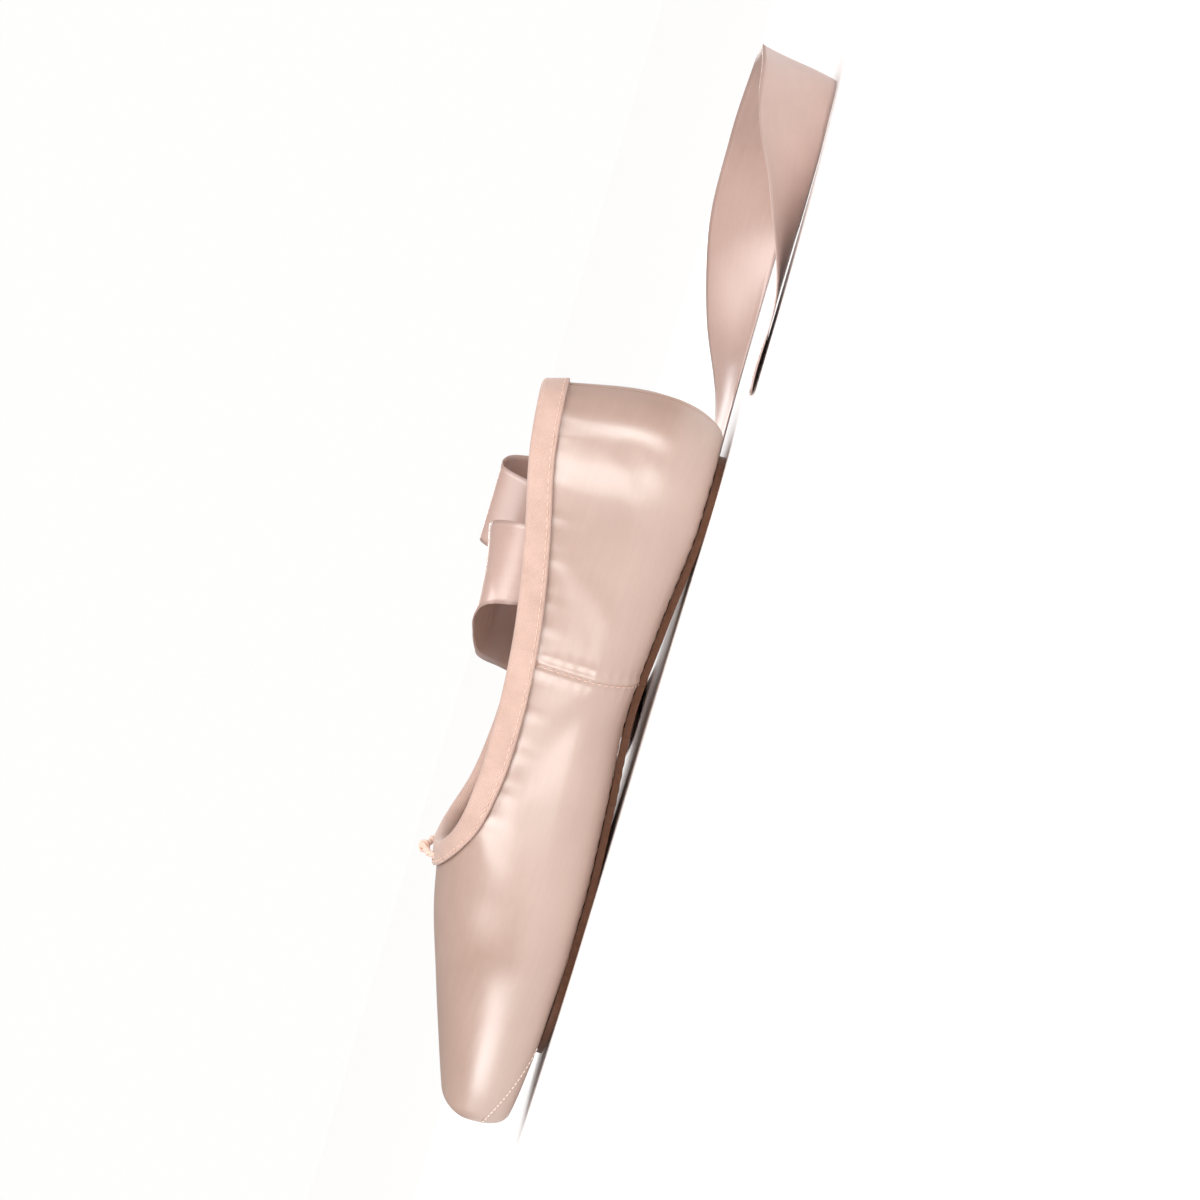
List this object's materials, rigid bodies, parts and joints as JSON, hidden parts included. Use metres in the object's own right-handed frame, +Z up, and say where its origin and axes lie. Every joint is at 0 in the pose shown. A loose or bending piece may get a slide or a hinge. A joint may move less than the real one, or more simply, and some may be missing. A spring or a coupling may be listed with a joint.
{
  "type": "pointe shoe",
  "caption": "Pale peach satin pointe shoe with flat platform, drawstring, sewn-in ribbons and tan leather outsole",
  "frame": {"origin": "on the floor, under the middle of the shoe's bounding box without its ribbons and drawstring", "axes": "+X toward the toe, +Y to the shoe's left side, +Z up"},
  "size_m": [0.3374, 0.2496, 0.0643],
  "materials": {
    "satin": "pale peach-pink satin with a broad soft sheen",
    "sole_leather": "tan suede leather with a dark burnished edge and pressed lattice",
    "sock_lining": "matte off-white cotton sock",
    "binding_tape": "matte woven tape, a little peachier than the satin",
    "cotton_cord": "matte twisted cotton",
    "ribbon_satin": "double-faced satin ribbon, a little less glossy than the shoe"
  },
  "bodies": {
    "root": {"upper": "satin", "outsole": "sole_leather", "insole": "sock_lining", "binding": "binding_tape", "drawstring": "cotton_cord", "ribbon_left": "ribbon_satin", "ribbon_right": "ribbon_satin"}
  },
  "joints": []
}
